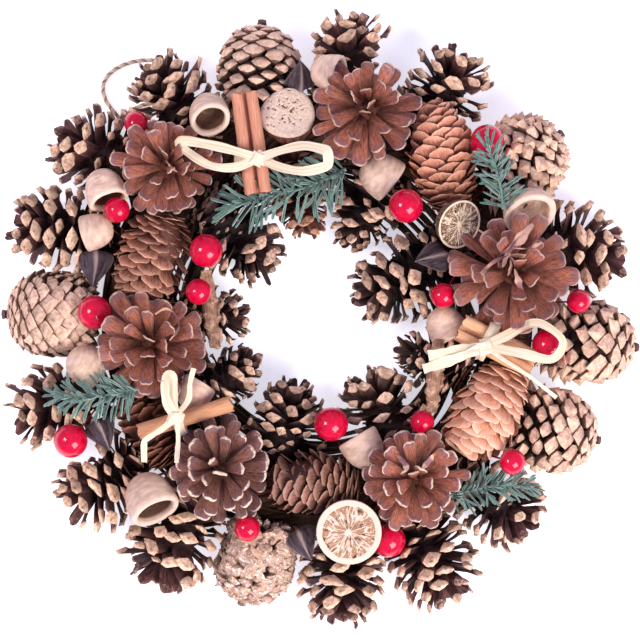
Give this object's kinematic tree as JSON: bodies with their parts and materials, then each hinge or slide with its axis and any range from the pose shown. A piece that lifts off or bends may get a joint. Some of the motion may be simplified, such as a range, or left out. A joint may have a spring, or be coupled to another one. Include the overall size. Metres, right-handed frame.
{
  "type": "pinecone wreath",
  "caption": "Round natural wreath of pine and spruce cones on a ring, dressed with berries, seed pods, cinnamon, raffia bows, dried citrus and fir.",
  "frame": {"origin": "middle of the wreath's own box, on the surface that its back lies on", "axes": "+Z out of the wreath's front, +Y towards the picture's upper edge, +X to its right"},
  "size_m": [0.3392, 0.3312, 0.0804],
  "materials": {
    "willow": "bare brown willow withies, matte",
    "pine_scale": "dark brown woody scales with pale tan ends, dry and matte",
    "rosette_scale": "reddish brown woody petals with a dry bloom and pale rims",
    "spruce_scale": "light orange-brown papery scales, satin",
    "red_berry": "lacquered red, high gloss",
    "bell_cup": "pale dry seed cups, dark pods and cork bark, matte",
    "cinnamon": "rolled reddish-brown bark, matte with fine streaks",
    "raffia": "cream palm fibre, slight sheen along the fibre",
    "citrus": "dried orange slice, cream rind and amber segments",
    "lime_rind": "leathery grey-brown rind, cream rim and brown segments",
    "spongy_pod": "porous pinkish-tan pith on a ridged brown side",
    "fir_needle": "blue-green artificial fir, soft semi-gloss",
    "jute": "twisted brown jute twine"
  },
  "bodies": {
    "root": {"base_ring": "willow", "hanging_twine": "jute", "outer_cone_01": "pine_scale", "outer_cone_02": "pine_scale", "outer_cone_03": "pine_scale", "outer_cone_04": "pine_scale", "outer_cone_05": "pine_scale", "outer_cone_06": "pine_scale", "outer_cone_07": "pine_scale", "outer_cone_08": "pine_scale", "outer_cone_09": "pine_scale", "outer_cone_10": "pine_scale", "outer_cone_11": "pine_scale", "outer_cone_12": "pine_scale", "outer_cone_13": "pine_scale", "outer_cone_14": "pine_scale", "outer_cone_15": "pine_scale", "outer_cone_16": "pine_scale", "outer_cone_17": "pine_scale", "outer_cone_18": "pine_scale", "inner_cone_01": "pine_scale", "inner_cone_02": "pine_scale", "inner_cone_03": "pine_scale", "inner_cone_04": "pine_scale", "inner_cone_05": "pine_scale", "inner_cone_06": "pine_scale", "inner_cone_07": "pine_scale", "inner_cone_08": "pine_scale", "inner_cone_09": "pine_scale", "rosette_cone_1": "rosette_scale", "rosette_cone_2": "rosette_scale", "rosette_cone_3": "rosette_scale", "rosette_cone_4": "rosette_scale", "rosette_cone_5": "rosette_scale", "rosette_cone_6": "rosette_scale", "spruce_cone_1": "spruce_scale", "spruce_cone_2": "spruce_scale", "spruce_cone_3": "spruce_scale", "spruce_cone_4": "spruce_scale", "spruce_cone_5": "spruce_scale", "berry_spray_left": "red_berry", "berry_spray_right": "red_berry", "berry_spray_lower": "red_berry", "pod_spray_upper": "bell_cup", "pod_spray_right": "bell_cup", "pod_spray_left": "bell_cup", "pod_spray_lower": "bell_cup", "cinnamon_stick_1": "cinnamon", "cinnamon_stick_2": "cinnamon", "cinnamon_stick_3": "cinnamon", "raffia_bow_1": "raffia", "raffia_bow_2": "raffia", "raffia_bow_3": "raffia", "citrus_slice": "citrus", "dried_lime_half": "lime_rind", "spongy_pod": "spongy_pod", "fir_sprig_upper": "fir_needle", "fir_sprig_right": "fir_needle", "fir_sprig_left": "fir_needle", "fir_sprig_lower": "fir_needle"}
  },
  "joints": []
}
